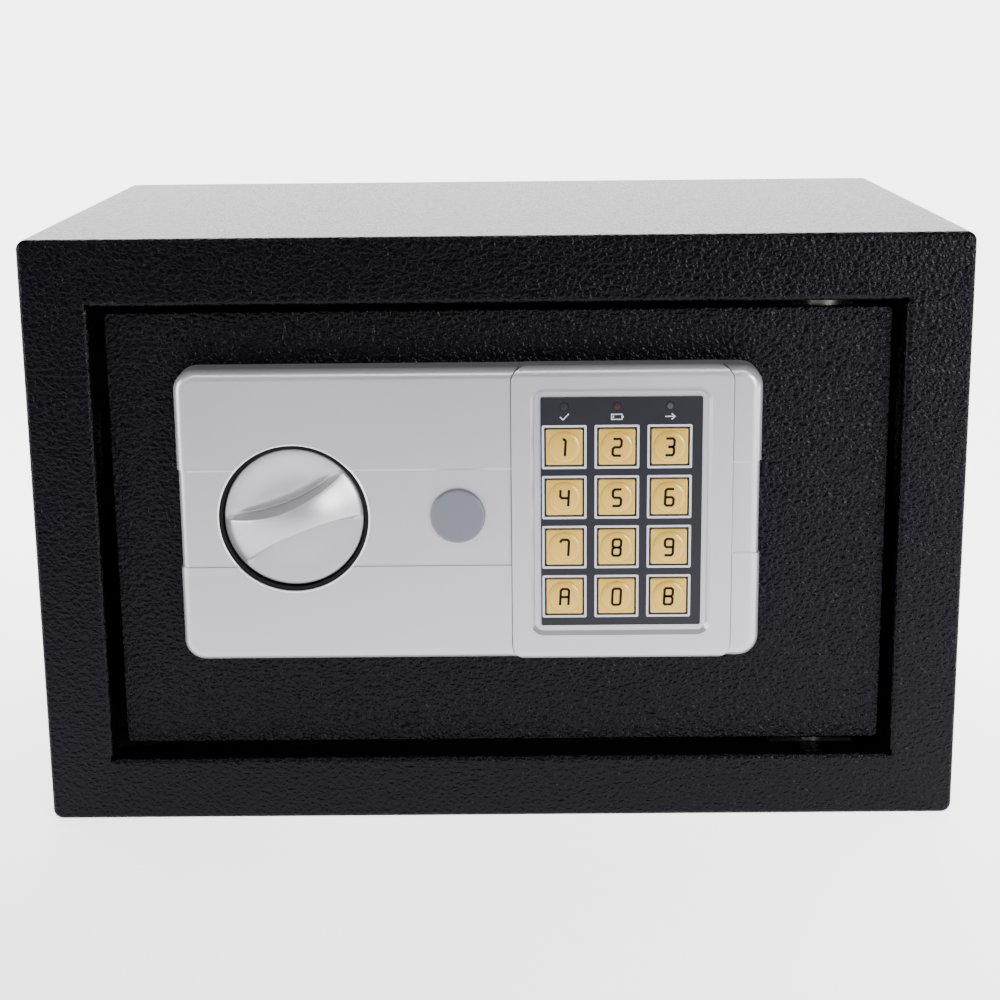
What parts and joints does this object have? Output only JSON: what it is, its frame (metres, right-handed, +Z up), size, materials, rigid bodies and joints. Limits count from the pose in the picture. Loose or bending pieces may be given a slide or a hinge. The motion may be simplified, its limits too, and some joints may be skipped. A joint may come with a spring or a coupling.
{
  "type": "electronic safe",
  "caption": "Small rectangular steel safe with a recessed hinged door carrying a digital keypad, a turning knob, an override lock and sliding round bolts.",
  "frame": {"origin": "centre of the cabinet's base, on the surface it stands on", "axes": "+X to the right seen from the front, +Y from the front to the back, +Z up"},
  "size_m": [0.31, 0.2095, 0.2],
  "materials": {
    "cabinet_paint": "wrinkle powder coat",
    "door_paint": "wrinkle powder coat",
    "tray_paint": "fine powder coat",
    "bare_steel": "zinc plated",
    "bolt_chrome": "polished plate",
    "brass_parts": "satin",
    "mat_felt": "needled felt",
    "silver_plastic": "silver painted, satin",
    "knob_silver": "silver painted, satin",
    "overlay_film": "printed film, satin",
    "key_gold": "pale gold, satin",
    "lamp_lens": "tinted lens",
    "black_plastic": "moulded",
    "cap_grey": "moulded grey",
    "board_green": "solder mask",
    "coil_copper": "wound wire",
    "cell_wrap": "printed sleeve",
    "button_red": "moulded red",
    "lead_sleeve": "soft sleeve"
  },
  "bodies": {
    "cabinet": {"cabinet_shell": "cabinet_paint", "rear_panel": "cabinet_paint", "front_frame": "cabinet_paint", "hinge_brackets": "bare_steel", "floor_mat": "mat_felt"},
    "door": {"door_plate": "door_paint", "hinge_lugs": "bare_steel", "hinge_pins": "bare_steel", "hinge_washers": "bare_steel", "door_tray": "tray_paint", "inner_cover": "tray_paint", "cover_screws": "bare_steel", "panel_screws": "bare_steel", "panel_housing": "silver_plastic", "keypad_frame": "silver_plastic", "keypad_overlay": "overlay_film", "keypad_board": "board_green", "key_domes": "bare_steel", "indicator_lamps": "lamp_lens", "knob_seat": "black_plastic", "guide_posts": "bare_steel", "solenoid_yoke": "bare_steel", "solenoid_coil": "coil_copper", "plunger_spring": "bare_steel", "lock_barrel": "brass_parts", "lock_nut": "bare_steel", "battery_box": "black_plastic", "battery_cells": "cell_wrap", "battery_contacts": "bolt_chrome", "control_board": "board_green", "board_components": "black_plastic", "board_standoffs": "brass_parts", "keypad_cable": "lead_sleeve", "battery_leads": "lead_sleeve", "solenoid_lead": "lead_sleeve"},
    "knob": {"knob": "knob_silver", "knob_shaft": "bare_steel", "crank_arm": "bare_steel", "shaft_clip": "bare_steel"},
    "bolts": {"bolt_carrier": "bare_steel", "lock_bolts": "bolt_chrome", "bolt_rivets": "bare_steel"},
    "plunger": {"solenoid_plunger": "bare_steel"},
    "override_cap": {"override_cap": "cap_grey"},
    "lock_plug": {"lock_plug": "brass_parts", "lock_cam": "bare_steel"},
    "reset_button": {"reset_button": "button_red"},
    "battery_cover": {"battery_cover": "black_plastic"},
    "key_1": {"key_1": "key_gold"},
    "key_2": {"key_2": "key_gold"},
    "key_3": {"key_3": "key_gold"},
    "key_4": {"key_4": "key_gold"},
    "key_5": {"key_5": "key_gold"},
    "key_6": {"key_6": "key_gold"},
    "key_7": {"key_7": "key_gold"},
    "key_8": {"key_8": "key_gold"},
    "key_9": {"key_9": "key_gold"},
    "key_a": {"key_a": "key_gold"},
    "key_0": {"key_0": "key_gold"},
    "key_b": {"key_b": "key_gold"}
  },
  "joints": [
    {"name": "door_hinge", "type": "hinge", "parent": "cabinet", "child": "door", "pos_m": [0.108, -0.084, 0.1], "axis": [0, 0, 1], "range_deg": [0, 100]},
    {"name": "knob_turn", "type": "hinge", "parent": "door", "child": "knob", "pos_m": [-0.0677, -0.09, 0.1076], "axis": [0, -1, 0], "range_deg": [0, 70]},
    {"name": "bolt_slide", "type": "slide", "parent": "door", "child": "bolts", "axis": [-1, 0, 0], "range_m": [0, 0.01607]},
    {"name": "plunger_slide", "type": "slide", "parent": "door", "child": "plunger", "axis": [0, 0, 1], "range_m": [0, 0.008], "deforming": ["plunger_spring"]},
    {"name": "cap_pull", "type": "slide", "parent": "door", "child": "override_cap", "axis": [0, -1, 0], "range_m": [0, 0.025]},
    {"name": "lock_turn", "type": "hinge", "parent": "door", "child": "lock_plug", "pos_m": [-0.01335, -0.09, 0.1082], "axis": [0, 1, 0], "range_deg": [0, 90]},
    {"name": "reset_press", "type": "slide", "parent": "door", "child": "reset_button", "axis": [0, -1, 0], "range_m": [0, 0.0005], "stiffness_N_per_m": 800},
    {"name": "battery_cover_pull", "type": "slide", "parent": "door", "child": "battery_cover", "axis": [0, 1, 0], "range_m": [0, 0.02]},
    {"name": "key_1_press", "type": "slide", "parent": "door", "child": "key_1", "axis": [0, 1, 0], "range_m": [0, 0.0006], "stiffness_N_per_m": 800},
    {"name": "key_2_press", "type": "slide", "parent": "door", "child": "key_2", "axis": [0, 1, 0], "range_m": [0, 0.0006], "stiffness_N_per_m": 800},
    {"name": "key_3_press", "type": "slide", "parent": "door", "child": "key_3", "axis": [0, 1, 0], "range_m": [0, 0.0006], "stiffness_N_per_m": 800},
    {"name": "key_4_press", "type": "slide", "parent": "door", "child": "key_4", "axis": [0, 1, 0], "range_m": [0, 0.0006], "stiffness_N_per_m": 800},
    {"name": "key_5_press", "type": "slide", "parent": "door", "child": "key_5", "axis": [0, 1, 0], "range_m": [0, 0.0006], "stiffness_N_per_m": 800},
    {"name": "key_6_press", "type": "slide", "parent": "door", "child": "key_6", "axis": [0, 1, 0], "range_m": [0, 0.0006], "stiffness_N_per_m": 800},
    {"name": "key_7_press", "type": "slide", "parent": "door", "child": "key_7", "axis": [0, 1, 0], "range_m": [0, 0.0006], "stiffness_N_per_m": 800},
    {"name": "key_8_press", "type": "slide", "parent": "door", "child": "key_8", "axis": [0, 1, 0], "range_m": [0, 0.0006], "stiffness_N_per_m": 800},
    {"name": "key_9_press", "type": "slide", "parent": "door", "child": "key_9", "axis": [0, 1, 0], "range_m": [0, 0.0006], "stiffness_N_per_m": 800},
    {"name": "key_a_press", "type": "slide", "parent": "door", "child": "key_a", "axis": [0, 1, 0], "range_m": [0, 0.0006], "stiffness_N_per_m": 800},
    {"name": "key_0_press", "type": "slide", "parent": "door", "child": "key_0", "axis": [0, 1, 0], "range_m": [0, 0.0006], "stiffness_N_per_m": 800},
    {"name": "key_b_press", "type": "slide", "parent": "door", "child": "key_b", "axis": [0, 1, 0], "range_m": [0, 0.0006], "stiffness_N_per_m": 800}
  ],
  "couplings": [
    {"joint": "knob_turn", "follows": "bolt_slide", "rad_per_m": 76.02}
  ]
}
